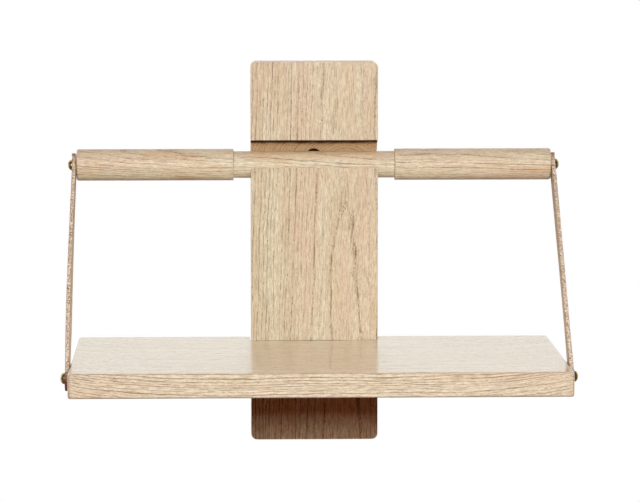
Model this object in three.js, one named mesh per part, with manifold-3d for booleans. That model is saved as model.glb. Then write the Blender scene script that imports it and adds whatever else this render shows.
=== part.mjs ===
// A small wall shelf. An upright board is screwed to the wall, a turned rod drops into a hooked slot in it,
// and two leather straps carry the shelf from the rod's ends. The shelf's rear edge rests in the board.
//
// Millimetres, X to the right along the wall, Y into the wall, Z up.
// The origin is on the wall, in the middle of the board's rear face.

import * as THREE from 'three';
import { mergeVertices, toCreasedNormals } from 'three/addons/utils/BufferGeometryUtils.js';
import Module from 'manifold-3d';

const wasm = await Module();
wasm.setup();

// Overall sizes
const shelfWidth = 400;
const shelfReach = 220; // from the wall to the shelf's front
const boardWidth = 107;
const boardHeight = 320;

// Fits
const touchGap = 0.3; // between pieces that rest on each other
const cutOverrun = 3; // how far a cutter runs past the face that it opens

// Turned rod
const rodEndDiameter = 26.5;
const rodShoulder = 2; // step from the thick end down to the waist
const rodShoulderGap = 14.5; // from the board's side to the shoulder
const rodEndRound = 1.6;
const rodShoulderRound = 0.6;

// Hooked slot that holds the rod's waist
const slotPassClearance = 1.05; // the opening is this much higher than the waist
const slotSideClearance = 0.5; // between the waist and the seat's sides
const slotLipDrop = 2.35; // the lip's top lies this far under the seat's centre
const slotLipThickness = 0.6;
const slotBackWood = 3.85; // wood left between the slot and the wall
const slotBelowTop = 65.6; // from the board's top edge to the slot's ceiling
const slotLipCornerRadius = 4;

// Wall board
const boardCornerRadius = 5;
const boardEdgeRound = 1;

// Hole for the wall screw, at the back of the slot
const wallHoleDiameter = 6;
const wallHoleHeadDiameter = 13;
const wallHoleRim = 1.2; // straight bore left under the countersink
const wallHoleBelowCeiling = 15;

// Housing in the board for the shelf's rear edge
const housingDepth = 6;
const housingTopClearance = 0.5; // the edge rises into it as the shelf swings out
const shelfAboveBottom = 64.7; // from the board's bottom edge to the shelf's underside

// Shelf board
const shelfThickness = 20;
const shelfCornerRadius = 3;
const shelfEdgeRound = 1.5;
const shelfWallGap = 1; // between the rear edge and the wall
const notchSideGap = 1; // between the notch and the board's sides

// Leather straps
const strapWidth = 15;
const strapThickness = 3.5;
const strapEdgeRound = 0.5;
const strapEndDistance = 10.5; // from a screw's centre to the strap's end
const strapInset = 45; // from the shelf's front to the lower screws

// Round-head screws
const screwHeadDiameter = 9;
const screwHeadHeight = 3.4;
const screwHeadRim = 0.4; // upright edge under the dome
const screwShankDiameter = 4;
const screwLength = 25; // under the head
const screwPointLength = 6;
const screwTipDiameter = 0.6;
const screwSlotWidth = 1.2;
const screwSlotDepth = 1.5;
const screwHoleClearance = 0.3; // round the shank, in wood and leather
const screwHoleSpare = 2; // depth left past the point
const screwTurnShares = { upper: [0.07, 0.19], lower: [0.21, 0.04] }; // shares of a full turn

// Steps of the round forms
const rodSides = 48;
const screwSides = 24;
const holeSides = 24;
const cornerSteps = 6;
const edgeSteps = 3;
const arcSteps = 20;
const domeSteps = 5;
const roundSteps = 4;
const creaseAngle = Math.PI / 5;

// Sizes that follow
const rodWaistDiameter = rodEndDiameter - 2 * rodShoulder;
const rodWaistLength = boardWidth + 2 * rodShoulderGap;
const slotOpening = rodWaistDiameter + slotPassClearance;
const seatRadius = rodWaistDiameter / 2 + slotSideClearance;
const boardThickness = slotBackWood + slotOpening + slotLipThickness;
const strapInnerX = shelfWidth / 2 + touchGap;
const screwSeatX = strapInnerX + strapThickness + touchGap;
const screwHoleDiameter = screwShankDiameter + 2 * screwHoleClearance;
const screwHoleDepth = screwLength - (screwSeatX - shelfWidth / 2) + screwHoleSpare;

// Places that follow; a depth is measured from the wall towards the room
const ceilingZ = boardHeight / 2 - slotBelowTop;
const lipZ = ceilingZ - slotOpening;
const seatZ = lipZ + slotLipDrop;
const seatDepth = slotBackWood + seatRadius;
const rodZ = seatZ - seatRadius + rodWaistDiameter / 2 + touchGap;
const shelfBottomZ = shelfAboveBottom - boardHeight / 2;
const shelfMiddleZ = shelfBottomZ + shelfThickness / 2;
const housingBack = boardThickness - housingDepth;
const strapLowerDepth = shelfReach - strapInset;
const strapRun = strapLowerDepth - seatDepth;
const strapDrop = rodZ - shelfMiddleZ;

const oak = { color: 0xd9c4a0, roughness: 0.55, metalness: 0 };
const turnedOak = { color: 0xd6bd96, roughness: 0.5, metalness: 0 };
const leather = { color: 0xc9a383, roughness: 0.7, metalness: 0 };
const brass = { color: 0xb08d45, roughness: 0.3, metalness: 1 };

// Local x, y and z of an outline drawn from the side: depth from the wall, height, and along the wall
const fromSide = new THREE.Matrix4().makeBasis(
  new THREE.Vector3(0, -1, 0),
  new THREE.Vector3(0, 0, 1),
  new THREE.Vector3(-1, 0, 0),
);

// A closed solid for joining and cutting: shared corners, and no triangle with two corners in one place
function toSolid(geometry) {
  const bare = geometry.clone();
  bare.deleteAttribute('normal');
  bare.deleteAttribute('uv');
  const welded = mergeVertices(bare);
  const corners = welded.index.array;
  const kept = [];
  for (let i = 0; i < corners.length; i += 3) {
    const [a, b, c] = corners.slice(i, i + 3);
    if (a !== b && b !== c && c !== a) kept.push(a, b, c);
  }
  return new wasm.Manifold(new wasm.Mesh({
    numProp: 3,
    vertProperties: new Float32Array(welded.attributes.position.array),
    triVerts: new Uint32Array(kept),
  }));
}

function cutFrom(geometry, ...cutters) {
  const solid = cutters.reduce((rest, cutter) => rest.subtract(toSolid(cutter)), toSolid(geometry));
  const mesh = solid.getMesh();
  const result = new THREE.BufferGeometry();
  result.setAttribute('position', new THREE.BufferAttribute(new Float32Array(mesh.vertProperties), 3));
  result.setIndex(new THREE.BufferAttribute(new Uint32Array(mesh.triVerts), 1));
  return toCreasedNormals(result, creaseAngle);
}

function roundedRectangle(width, height, radius) {
  const right = width / 2;
  const top = height / 2;
  const outline = new THREE.Shape();
  outline.moveTo(-right, radius - top);
  outline.absarc(radius - right, radius - top, radius, Math.PI, 1.5 * Math.PI);
  outline.absarc(right - radius, radius - top, radius, 1.5 * Math.PI, 2 * Math.PI);
  outline.absarc(right - radius, top - radius, radius, 0, Math.PI / 2);
  outline.absarc(radius - right, top - radius, radius, Math.PI / 2, Math.PI);
  return outline;
}

// A plate from z = 0 to its thickness, with all its edges rounded
function roundedPlate(outline, thickness, edgeRound) {
  return new THREE.ExtrudeGeometry(outline, {
    depth: thickness - 2 * edgeRound,
    bevelEnabled: true,
    bevelThickness: edgeRound,
    bevelSize: edgeRound,
    bevelOffset: -edgeRound,
    bevelSegments: edgeSteps,
    curveSegments: cornerSteps,
  }).translate(0, 0, edgeRound);
}

// A cutter of one outline drawn from the side, running right across the wall board
function acrossBoard(outline) {
  const length = boardWidth + 2 * cutOverrun;
  return new THREE.ExtrudeGeometry(outline, { depth: length, bevelEnabled: false, curveSegments: arcSteps })
    .translate(0, 0, -length / 2)
    .applyMatrix4(fromSide);
}

// A drill that enters at y = 0 and bores towards -y, with a pointed end
function drill(diameter, depth) {
  const radius = diameter / 2;
  return new THREE.LatheGeometry([
    new THREE.Vector2(0, -depth - radius / 2),
    new THREE.Vector2(radius, -depth),
    new THREE.Vector2(radius, cutOverrun),
    new THREE.Vector2(0, cutOverrun),
  ], holeSides);
}

// Points of a quarter-round on a turned profile, from one angle to the other
function turnedRound(x, y, radius, from, to) {
  const points = [];
  for (let i = 0; i <= roundSteps; i += 1) {
    const angle = from + (to - from) * i / roundSteps;
    points.push(new THREE.Vector2(x + radius * Math.cos(angle), y + radius * Math.sin(angle)));
  }
  return points;
}

// The slot seen from the side: in over the lip, down round the seat, up the back and forward along the ceiling.
// The rod rolls over the lip's inner edge, so the ceiling curves about a centre close to that edge.
function slotCutter() {
  const front = boardThickness + cutOverrun;
  const lipAngle = -Math.asin(slotLipDrop / seatRadius);
  const outline = new THREE.Shape();
  outline.moveTo(front, ceilingZ);
  outline.lineTo(slotBackWood + slotOpening, ceilingZ);
  outline.absellipse(
    slotBackWood + slotOpening,
    seatZ,
    slotOpening,
    ceilingZ - seatZ,
    Math.PI / 2,
    Math.PI,
    false,
    0,
  );
  outline.absarc(seatDepth, seatZ, seatRadius, Math.PI, 2 * Math.PI + lipAngle, false);
  outline.lineTo(front, lipZ);
  return acrossBoard(outline);
}

// The lip's upper corner at one side, seen from the front, cut to a quarter-round
function lipCornerCutter(side) {
  const radius = slotLipCornerRadius;
  const corner = new THREE.Shape();
  corner.moveTo(radius, cutOverrun);
  corner.lineTo(radius, 0);
  corner.absarc(radius, -radius, radius, Math.PI / 2, Math.PI, false);
  corner.lineTo(-cutOverrun, -radius);
  corner.lineTo(-cutOverrun, cutOverrun);
  const depth = boardThickness - seatDepth + cutOverrun;
  const cutter = new THREE.ExtrudeGeometry(corner, {
    depth,
    bevelEnabled: false,
    curveSegments: cornerSteps,
  });
  cutter.rotateX(Math.PI / 2);
  if (side > 0) cutter.rotateZ(Math.PI).translate(0, -depth, 0);
  return cutter.translate(side * boardWidth / 2, -seatDepth, lipZ);
}

// The countersunk hole for the wall screw, bored from the slot to the wall
function wallHoleCutter() {
  const bore = wallHoleDiameter / 2;
  const head = wallHoleHeadDiameter / 2;
  return new THREE.LatheGeometry([
    new THREE.Vector2(0, -cutOverrun),
    new THREE.Vector2(bore, -cutOverrun),
    new THREE.Vector2(bore, wallHoleRim),
    new THREE.Vector2(head, wallHoleRim + head - bore),
    new THREE.Vector2(head, seatDepth),
    new THREE.Vector2(0, seatDepth),
  ], holeSides)
    .rotateX(Math.PI)
    .translate(0, 0, ceilingZ - wallHoleBelowCeiling);
}

function housingCutter() {
  const bottom = shelfBottomZ - touchGap;
  const top = shelfBottomZ + shelfThickness + housingTopClearance;
  const front = boardThickness + cutOverrun;
  const outline = new THREE.Shape();
  outline.moveTo(housingBack, bottom);
  outline.lineTo(front, bottom);
  outline.lineTo(front, top);
  outline.lineTo(housingBack, top);
  return acrossBoard(outline);
}

function backBoard() {
  const outline = roundedRectangle(boardWidth, boardHeight, boardCornerRadius);
  const plate = roundedPlate(outline, boardThickness, boardEdgeRound).rotateX(Math.PI / 2);
  return cutFrom(
    plate,
    slotCutter(),
    lipCornerCutter(-1),
    lipCornerCutter(1),
    wallHoleCutter(),
    housingCutter(),
  );
}

// Half of the rod's profile, from the bottom of its pilot hole out over the end and in to the waist
function rodHalfProfile() {
  const end = shelfWidth / 2;
  const outer = rodEndDiameter / 2;
  const waist = rodWaistDiameter / 2;
  const hole = screwHoleDiameter / 2;
  const shoulder = rodWaistLength / 2;
  const round = rodShoulderRound;
  return [
    new THREE.Vector2(0, end - screwHoleDepth - hole / 2),
    new THREE.Vector2(hole, end - screwHoleDepth),
    new THREE.Vector2(hole, end),
    ...turnedRound(outer - rodEndRound, end - rodEndRound, rodEndRound, Math.PI / 2, 0),
    ...turnedRound(outer - round, shoulder + round, round, 0, -Math.PI / 2),
    ...turnedRound(waist + round, shoulder - round, round, Math.PI / 2, Math.PI),
  ];
}

function hangingRod() {
  const right = rodHalfProfile();
  const left = right.map((point) => new THREE.Vector2(point.x, -point.y));
  return cutFrom(new THREE.LatheGeometry([...left, ...right.reverse()], rodSides).rotateZ(-Math.PI / 2));
}

// The shelf in plan, turned so that its underside is at z = 0 and its rear edge faces the wall
function shelfBoard() {
  const depth = shelfReach - shelfWallGap;
  const outline = roundedRectangle(shelfWidth, depth, shelfCornerRadius);
  const plate = roundedPlate(outline, shelfThickness, shelfEdgeRound)
    .translate(0, -shelfWallGap - depth / 2, 0);
  const notchBack = housingBack + touchGap;
  const notch = new THREE.BoxGeometry(
    boardWidth + 2 * notchSideGap,
    notchBack + cutOverrun,
    shelfThickness + 2 * cutOverrun,
  ).translate(0, (cutOverrun - notchBack) / 2, shelfThickness / 2);
  const holes = [-1, 1].map((side) => drill(screwHoleDiameter, screwHoleDepth)
    .rotateZ(-side * Math.PI / 2)
    .translate(side * shelfWidth / 2, -strapLowerDepth, shelfThickness / 2));
  return cutFrom(plate, notch, ...holes);
}

// A strap with its upper screw hole at the origin, running down and towards the room, thickness along x
function strap() {
  const length = Math.hypot(strapRun, strapDrop);
  const endRadius = strapWidth / 2;
  const reach = strapEndDistance - endRadius;
  const outline = new THREE.Shape();
  outline.absarc(-reach, 0, endRadius, Math.PI / 2, 1.5 * Math.PI, false);
  outline.absarc(length + reach, 0, endRadius, -Math.PI / 2, Math.PI / 2, false);
  const holes = [0, length].map((place) => new THREE.CylinderGeometry(
    screwHoleDiameter / 2,
    screwHoleDiameter / 2,
    strapThickness + 2 * cutOverrun,
    holeSides,
  )
    .rotateX(Math.PI / 2)
    .translate(place, 0, strapThickness / 2));
  return cutFrom(roundedPlate(outline, strapThickness, strapEdgeRound), ...holes)
    .rotateZ(-Math.atan2(strapDrop, strapRun))
    .translate(0, 0, -strapThickness / 2)
    .applyMatrix4(fromSide);
}

// A round-head screw along y, its head's underside at y = 0 and its point at -y
function screw() {
  const shank = screwShankDiameter / 2;
  const head = screwHeadDiameter / 2;
  const profile = [
    new THREE.Vector2(0, -screwLength),
    new THREE.Vector2(screwTipDiameter / 2, -screwLength),
    new THREE.Vector2(shank, screwPointLength - screwLength),
    new THREE.Vector2(shank, 0),
    new THREE.Vector2(head, 0),
  ];
  for (let i = 0; i < domeSteps; i += 1) {
    const angle = Math.PI / 2 * i / domeSteps;
    const rise = (screwHeadHeight - screwHeadRim) * Math.sin(angle);
    profile.push(new THREE.Vector2(head * Math.cos(angle), screwHeadRim + rise));
  }
  profile.push(new THREE.Vector2(0, screwHeadHeight));
  const slot = new THREE.BoxGeometry(
    screwHeadDiameter + 2 * cutOverrun,
    screwSlotDepth + cutOverrun,
    screwSlotWidth,
  ).translate(0, screwHeadHeight + (cutOverrun - screwSlotDepth) / 2, 0);
  return cutFrom(new THREE.LatheGeometry(profile, screwSides), slot);
}

function named(name, geometry, finish) {
  const mesh = new THREE.Mesh(geometry, new THREE.MeshStandardMaterial(finish));
  mesh.name = name;
  return mesh;
}

// One screw, driven inwards on its side, with its slot left at its own turn
function placedScrew(level, side, depth, z) {
  const sideName = side < 0 ? 'left' : 'right';
  const mesh = named(`screw_${level}_${sideName}`, screw(), brass);
  const turnShare = screwTurnShares[level][side < 0 ? 0 : 1];
  mesh.geometry.rotateY(2 * Math.PI * turnShare);
  mesh.rotation.z = -side * Math.PI / 2;
  mesh.position.set(side * screwSeatX, -depth, z);
  return mesh;
}

// All that hangs from the rod, measured from the rod's axis so that it can swing about it
function hangingSet() {
  const set = new THREE.Group();
  set.position.set(0, -seatDepth, rodZ);
  set.add(named('hanging_rod', hangingRod(), turnedOak));

  const shelf = named('shelf_board', shelfBoard(), oak);
  shelf.position.set(0, seatDepth, shelfBottomZ - rodZ);
  set.add(shelf);

  for (const side of [-1, 1]) {
    const leatherStrap = named(side < 0 ? 'strap_left' : 'strap_right', strap(), leather);
    leatherStrap.position.x = side * (strapInnerX + strapThickness / 2);
    set.add(leatherStrap);
    set.add(placedScrew('upper', side, 0, 0));
    set.add(placedScrew('lower', side, strapRun, -strapDrop));
  }
  return set;
}

const hangingShelf = new THREE.Group();
hangingShelf.add(named('back_board', backBoard(), oak));
hangingShelf.add(hangingSet());

export default hangingShelf;
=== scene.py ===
import math
from functools import partial

import bmesh
import bpy
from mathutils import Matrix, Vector, noise


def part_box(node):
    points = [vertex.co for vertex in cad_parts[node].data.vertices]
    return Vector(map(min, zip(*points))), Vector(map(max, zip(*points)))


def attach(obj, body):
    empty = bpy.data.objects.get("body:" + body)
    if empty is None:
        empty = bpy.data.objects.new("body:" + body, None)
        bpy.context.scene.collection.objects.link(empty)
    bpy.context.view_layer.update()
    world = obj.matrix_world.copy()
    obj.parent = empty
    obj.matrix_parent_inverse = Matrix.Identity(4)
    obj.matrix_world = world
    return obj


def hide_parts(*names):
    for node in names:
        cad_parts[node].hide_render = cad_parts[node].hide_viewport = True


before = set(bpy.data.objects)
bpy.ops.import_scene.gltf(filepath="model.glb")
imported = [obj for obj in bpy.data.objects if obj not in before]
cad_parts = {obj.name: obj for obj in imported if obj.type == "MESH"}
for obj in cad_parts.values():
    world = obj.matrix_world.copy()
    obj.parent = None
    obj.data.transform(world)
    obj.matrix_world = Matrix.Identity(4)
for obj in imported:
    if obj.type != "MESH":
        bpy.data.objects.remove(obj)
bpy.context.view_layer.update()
mm = 0.001  # metres in a millimetre
weldDistance = 0.002 * mm  # points closer than this are one
print("frame loaded")


# Small helpers

def srgbToLinear(hexColour):
    channels = [int(hexColour[i:i + 2], 16) / 255 for i in (1, 3, 5)]
    linear = [c / 12.92 if c <= 0.04045 else ((c + 0.055) / 1.055) ** 2.4 for c in channels]
    return (*linear, 1)


# Adds a node with its settings and links. The inputs are named, or listed in the node's own order. Each is a
# value, a socket, or a node, which then gives its first output in use.
def addNode(tree, kind, inputs=(), **settings):
    node = tree.nodes.new(f"ShaderNode{kind}")
    for name, value in settings.items():
        setattr(node, name, value)
    if not isinstance(inputs, dict):
        inputs = dict(enumerate(inputs))
    for socket, value in inputs.items():
        if isinstance(value, bpy.types.Node):
            value = next(output for output in value.outputs if output.enabled)
        if isinstance(value, bpy.types.NodeSocket):
            tree.links.new(value, node.inputs[socket])
        else:
            node.inputs[socket].default_value = value
    return node


# Clears a new material or world, and gives it back with what adds its nodes
def startNodes(holder):
    holder.use_nodes = True
    holder.node_tree.nodes.clear()
    return holder, partial(addNode, holder.node_tree)


def finishMaterial(add, inputs):
    shader = add("BsdfPrincipled", inputs)
    add("OutputMaterial", {"Surface": shader})


def fillRamp(ramp, stops):
    elements = ramp.color_ramp.elements
    while len(elements) < len(stops):
        elements.new(0.5)
    for element, (position, colour) in zip(elements, stops):
        element.position = position
        element.color = srgbToLinear(colour) if isinstance(colour, str) else colour


def grey(value):
    return (value, value, value, 1)


# Lays colours over each other: (where it lies, the most of it, the colour's name)
def layered(add, colour, layers, colours):
    for share, most, over in layers:
        share = add("Math", [share, most], operation="MULTIPLY", use_clamp=True)
        over = srgbToLinear(colours[over])
        colour = add("Mix", {0: share, "A": colour, "B": over}, data_type="RGBA")
    return colour


def middle(node):
    low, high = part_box(node)
    return (low + high) / 2


def smooth(low, high, value):
    share = max(0, min(1, (value - low) / (high - low)))
    return share * share * (3 - 2 * share)


def toObject(name, bm):
    bmesh.ops.recalc_face_normals(bm, faces=bm.faces)
    mesh = bpy.data.meshes.new(name)
    bm.to_mesh(mesh)
    bm.free()
    obj = bpy.data.objects.new(name, mesh)
    bpy.context.scene.collection.objects.link(obj)
    return obj


def applyModifiers(obj):
    evaluated = obj.evaluated_get(bpy.context.evaluated_depsgraph_get())
    mesh = bpy.data.meshes.new_from_object(evaluated)
    old = obj.data
    obj.modifiers.clear()
    obj.data = mesh
    bpy.data.meshes.remove(old)


def cutAway(obj, cutters):
    for cutter in cutters:
        cut = obj.modifiers.new("cut", "BOOLEAN")
        cut.operation = "DIFFERENCE"
        cut.solver = "EXACT"
        cut.object = cutter
    applyModifiers(obj)
    for cutter in cutters:
        bpy.data.objects.remove(cutter)


# Rounds the sharp edges; widthFor gives each edge's share of the full width from its middle point
def softenEdges(obj, width, widthFor, segments=4, sharpAngle=math.radians(32)):
    bm = bmesh.new()
    bm.from_mesh(obj.data)
    bmesh.ops.remove_doubles(bm, verts=bm.verts, dist=weldDistance)
    bmesh.ops.dissolve_degenerate(bm, edges=bm.edges, dist=weldDistance)
    weight = bm.edges.layers.float.new("bevel_weight_edge")
    for edge in bm.edges:
        if len(edge.link_faces) == 2 and edge.calc_face_angle(0) > sharpAngle:
            edge[weight] = widthFor((edge.verts[0].co + edge.verts[1].co) / 2)
    bm.to_mesh(obj.data)
    bm.free()
    bevel = obj.modifiers.new("round", "BEVEL")
    bevel.limit_method = "WEIGHT"
    bevel.width = width
    bevel.segments = segments
    bevel.use_clamp_overlap = True
    shadeEvenly(obj)


# Smooth shading that keeps broad flat faces flat
def shadeEvenly(obj, sharpAngle=math.radians(40)):
    applyModifiers(obj)
    obj.data.polygons.foreach_set("use_smooth", [True] * len(obj.data.polygons))
    bm = bmesh.new()
    bm.from_mesh(obj.data)
    for edge in bm.edges:
        edge.smooth = edge.calc_face_angle(0) < sharpAngle
    bm.to_mesh(obj.data)
    bm.free()
    even = obj.modifiers.new("even", "WEIGHTED_NORMAL")
    even.keep_sharp = True
    even.weight = 100
    applyModifiers(obj)


# Joins rings of points, each to the next. A ring of one point is a tip.
def joinRings(bm, rings):
    for low, high in zip(rings, rings[1:]):
        sides = max(len(low), len(high))
        for i in range(sides):
            j = (i + 1) % sides
            corners = [low[i % len(low)], low[j % len(low)], high[j % len(high)], high[i % len(high)]]
            kept = [c for k, c in enumerate(corners) if c not in corners[:k]]
            if len(kept) > 2:
                bm.faces.new(kept)


# A closed prism of one outline; place turns (x, y of the outline, distance along it) into a point
def prism(name, outline, start, end, place):
    bm = bmesh.new()
    rings = [[bm.verts.new(place(x, y, along)) for x, y in outline] for along in (start, end)]
    bm.faces.new(rings[0])
    bm.faces.new(rings[1])
    joinRings(bm, rings)
    return toObject(name, bm)


def arcPoints(x, y, radiusX, radiusY, start, end, steps):
    angles = [start + (end - start) * i / steps for i in range(steps + 1)]
    return [(x + radiusX * math.cos(a), y + radiusY * math.sin(a)) for a in angles]


# A turned solid: profile points are (radius, height), from the axis at the bottom to the axis at the top
def turned(name, profile, sides, place):
    bm = bmesh.new()
    angles = [2 * math.pi * i / sides for i in range(sides)]
    rings = []
    for radius, height in profile:
        around = angles if radius else [0]
        spots = [(radius * math.cos(a), radius * math.sin(a)) for a in around]
        rings.append([bm.verts.new(place(*spot, height)) for spot in spots])
    joinRings(bm, rings)
    return toObject(name, bm)


# Camera

cameraSetup = {
    "place": Vector((-80.5, -2724.7, 290.8)) * mm,
    "turnRight": math.radians(1.81),
    "tiltDown": math.radians(6.137),
    "lens": 180.9,
    "sensor": 36.0,
    "sees": (0.05, 60),  # nearest and farthest, in metres
}


def makeCamera(setup):
    data = bpy.data.cameras.new("camera")
    data.lens = setup["lens"]
    data.sensor_width = setup["sensor"]
    data.clip_start, data.clip_end = setup["sees"]
    camera = bpy.data.objects.new("camera", data)
    bpy.context.scene.collection.objects.link(camera)
    camera.location = setup["place"]
    camera.rotation_euler = (math.pi / 2 - setup["tiltDown"], 0, -setup["turnRight"])
    bpy.context.scene.camera = camera


makeCamera(cameraSetup)
print("camera placed")


# Lights, world and floor

# name: (azimuth from the front and elevation it comes from, in degrees, distance, width, height, watts)
lightSetup = {
    "key": (3, 15.7, 1.35, 1.7, 0.42, 20.8),
    "top": (0, 64, 2.2, 1.6, 1.0, 2.5),
    "rear": (180, 7, 2.6, 1.8, 0.9, 38),
    "rearTop": (160, 40, 2.6, 1.8, 1.2, 5),
    "leftFill": (-104, 6, 2.8, 1.2, 1.0, 26),
    "rightFill": (104, 6, 2.8, 1.2, 1.0, 26),
    "underRod": (0, -28, 0.9, 0.5, 0.2, 0.6),
    "underBoard": (180, -66, 0.45, 0.3, 0.1, 1.1),
    "overFloor": (0, 84, 2.0, 0.5, 0.5, 17),
    "glint": (-6, 14, 1.5, 0.5, 0.5, 25),
}
lightsAimAt = Vector((0, -80, 0)) * mm

# The studio's cards, each for a few pieces: two brighten edges from below, one puts the object's shadow on
# the floor, and the last lights only the brass and is the only lamp that shows as a reflection
cardTargets = {
    "underRod": ("turnedRod", "strapLeft", "strapRight"),
    "underBoard": ("wallBoard",),
    "overFloor": ("studioFloor",),
    "glint": ("screwUpperLeft", "screwUpperRight", "screwLowerLeft", "screwLowerRight"),
}

# The room behind the camera is dark and warm, and the backdrop behind the object is white
worldSetup = {
    "fill": (0.18, 0.05, 0.013, 1),
    "backdrop": (0.985, 0.985, 0.92, 1),
    "frontReflection": 0.04,
    "white": (-0.2, 0.45),  # how far towards the backdrop a reflection has to look
}

floorSetup = {
    "height": -0.45,
    "across": 1.5,
    "front": -1.5,
    "back": 1.12,
    "colour": "#ecf0f2",
    "glow": 0.2,  # the share of the paper's white that doesn't depend on the lamps
    "lit": "#bfc5c7",  # the share that does, bluer because the room's light is warm
    "glossShare": 0.35,  # how much of the paper shows in the waxed wood and the brass
    "bounce": "#552c15",
    "fade": (0.55, 1.1),
}


def makeLights(setup, target):
    for name, (azimuth, elevation, distance, width, height, watts) in setup.items():
        a, e = math.radians(azimuth), math.radians(elevation)
        direction = Vector((math.sin(a) * math.cos(e), -math.cos(a) * math.cos(e), math.sin(e)))
        data = bpy.data.lights.new(name, "AREA")
        data.shape = "RECTANGLE"
        data.size = width
        data.size_y = height
        data.energy = watts
        lamp = bpy.data.objects.new(name, data)
        bpy.context.scene.collection.objects.link(lamp)
        lamp.location = target + direction * distance
        lamp.rotation_euler = (-direction).to_track_quat("-Z", "Y").to_euler()
        lamp.visible_camera = False
        lamp.visible_glossy = name == "glint"  # no hard shine on the wood


def aimCards(targets):
    for name, pieces in targets.items():
        lit = bpy.data.collections.new(f"{name}Targets")
        for piece in pieces:
            lit.objects.link(bpy.data.objects[piece])
        bpy.data.objects[name].light_linking.receiver_collection = lit


def makeWorld(setup):
    world, add = startNodes(bpy.data.worlds.new("studio"))
    path = add("LightPath")
    through = path.outputs["Is Transmission Ray"]
    direct = add("Math", [path.outputs["Is Camera Ray"], through], operation="MAXIMUM")
    direction = add("TexCoord")
    heading = add("SeparateXYZ", [direction.outputs["Generated"]])
    reach = [heading.outputs["Y"], *setup["white"], setup["frontReflection"]]
    backdrop = add("MapRange", reach, interpolation_type="SMOOTHSTEP")
    dim = add("Background", {"Color": setup["fill"]})
    mirrored = add("Background", {"Color": setup["backdrop"], "Strength": backdrop})
    white = add("Background", {"Color": grey(1)})
    shiny = add("MixShader", [path.outputs["Is Glossy Ray"], dim, mirrored])
    seen = add("MixShader", [direct, shiny, white])
    add("OutputWorld", {"Surface": seen})
    bpy.context.scene.world = world


# Matte white background paper. The camera sees it pale with the object's shadow, and the object gets a brown
# bounce from it. From below it isn't there at all, so that it doesn't hide the object.
def whitePaper(name, setup):
    material, add = startNodes(bpy.data.materials.new(name))
    path = add("LightPath")
    cameraRay = path.outputs["Is Camera Ray"]
    glossy = path.outputs["Is Glossy Ray"]
    seen = add("Math", [glossy, setup["glossShare"], cameraRay], operation="MULTIPLY_ADD")
    matte = add("BsdfDiffuse", {"Color": srgbToLinear(setup["lit"])})
    glowShare = add("Math", [cameraRay, setup["glow"]], operation="MULTIPLY")
    glow = add("Emission", {"Color": srgbToLinear(setup["colour"]), "Strength": glowShare})
    pale = add("AddShader", [matte, glow])
    bounce = add("BsdfDiffuse", {"Color": srgbToLinear(setup["bounce"])})
    paper = add("MixShader", [seen, bounce, pale])
    # The paper fades into the white room towards its rim
    place = add("TexCoord").outputs["Object"]
    flat = add("VectorMath", [place, (1, 1, 0)], operation="MULTIPLY")
    reach = add("VectorMath", [flat], operation="LENGTH")
    fade = add("MapRange", [reach, *setup["fade"]], interpolation_type="SMOOTHSTEP")
    fromBelow = add("NewGeometry").outputs["Backfacing"]
    unseen = add("Math", [fade, fromBelow], operation="MAXIMUM")
    clear = add("BsdfTransparent")
    mixed = add("MixShader", [unseen, paper, clear])
    add("OutputMaterial", {"Surface": mixed})
    return material


def makeFloor(setup):
    bm = bmesh.new()
    corners = [(-1, "front"), (1, "front"), (1, "back"), (-1, "back")]
    points = [(side * setup["across"], setup[end], setup["height"]) for side, end in corners]
    bm.faces.new([bm.verts.new(point) for point in points])
    floor = toObject("studioFloor", bm)
    if floor.data.polygons[0].normal.z < 0:
        floor.data.flip_normals()
    floor.data.materials.append(whitePaper("mattePaperFloor", setup))


makeLights(lightSetup, lightsAimAt)
makeWorld(worldSetup)
makeFloor(floorSetup)
bpy.context.scene.view_settings.view_transform = "Standard"
print("studio lit")


# Materials

oakColours = {
    "pale": "#e9e9d0",
    "body": "#ddd6ba",
    "pink": "#e8cfb9",
    "golden": "#dcb88c",
    # painted shade on the rounded edges
    "rubbed": "#8f8168",
    "fibre": "#bfaa88",
    "pore": "#765534",
    "endGrain": "#e7ca9e",
    "endPore": "#7a4f2a",
    # the next two are painted shade on the board's foot, under the shelf
    "footLine": "#6e3c1c",
    "footTint": "#cc9a4e",
    # painted light: the warm glow of the slot's wood on the rod's top
    "oiled": "#f4cd9c",
    # painted shade in the slot's ceiling and inside the screw hole
    "scorch": "#431c08",
}
paleShelfColours = {
    **oakColours,
    "pale": "#f6f2dc",
    "body": "#ece2c7",
    "pink": "#f3dec9",
    "fibre": "#c6b390",
    "pore": "#7c5f40",
    "endGrain": "#dcc8a6",
}

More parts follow.
